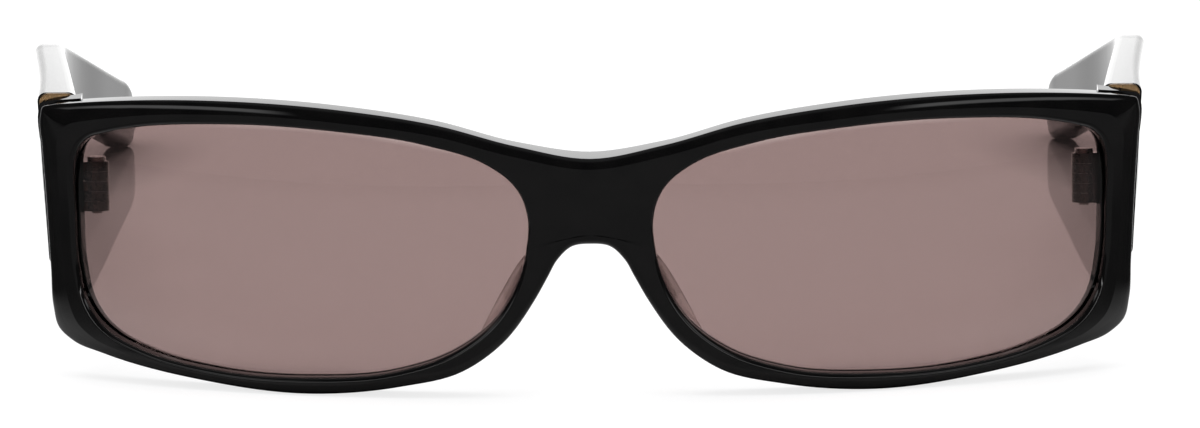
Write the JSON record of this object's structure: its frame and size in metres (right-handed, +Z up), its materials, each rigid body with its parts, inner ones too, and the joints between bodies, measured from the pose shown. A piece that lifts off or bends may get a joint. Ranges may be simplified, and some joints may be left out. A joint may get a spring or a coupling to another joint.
{
  "type": "square sunglasses",
  "caption": "Square full-rim sunglasses with tinted lenses and two temples that fold inwards on barrel hinges.",
  "frame": {"origin": "on the surface that the open glasses stand on, under the middle of their bounding box", "axes": "+X towards the wearer's left temple, across the face; +Y from the lenses back to the temple tips; +Z up from the surface"},
  "size_m": [0.1566, 0.1428, 0.0386],
  "materials": {
    "acetate": "polished black cellulose acetate",
    "clear_acetate": "clear cellulose acetate, polished",
    "lens": "brown tinted, polished both sides",
    "hinge_metal": "dark nickel silver, satin",
    "screw_metal": "dark steel, satin",
    "end_plate_metal": "dark bronze, satin",
    "wire_metal": "nickel silver, satin"
  },
  "bodies": {
    "front": {"front_frame": "acetate", "lens_left": "lens", "lens_right": "lens", "nose_pad_left": "clear_acetate", "nose_pad_right": "clear_acetate", "front_hinge_left": "hinge_metal", "front_hinge_right": "hinge_metal", "hinge_screw_left": "screw_metal", "hinge_screw_right": "screw_metal"},
    "temple_left": {"temple_left": "acetate", "temple_hinge_left": "hinge_metal", "temple_end_plate_left": "end_plate_metal", "core_wire_left": "wire_metal"},
    "temple_right": {"temple_right": "acetate", "temple_hinge_right": "hinge_metal", "temple_end_plate_right": "end_plate_metal", "core_wire_right": "wire_metal"}
  },
  "joints": [
    {"name": "temple_left_fold", "type": "hinge", "parent": "front", "child": "temple_left", "pos_m": [0.0646, -0.05418, 0.02482], "axis": [0, 0.153, 0.9882], "range_deg": [0, 92.5]},
    {"name": "temple_right_fold", "type": "hinge", "parent": "front", "child": "temple_right", "pos_m": [-0.0646, -0.05418, 0.02482], "axis": [0, -0.153, -0.9882], "range_deg": [0, 82]}
  ]
}
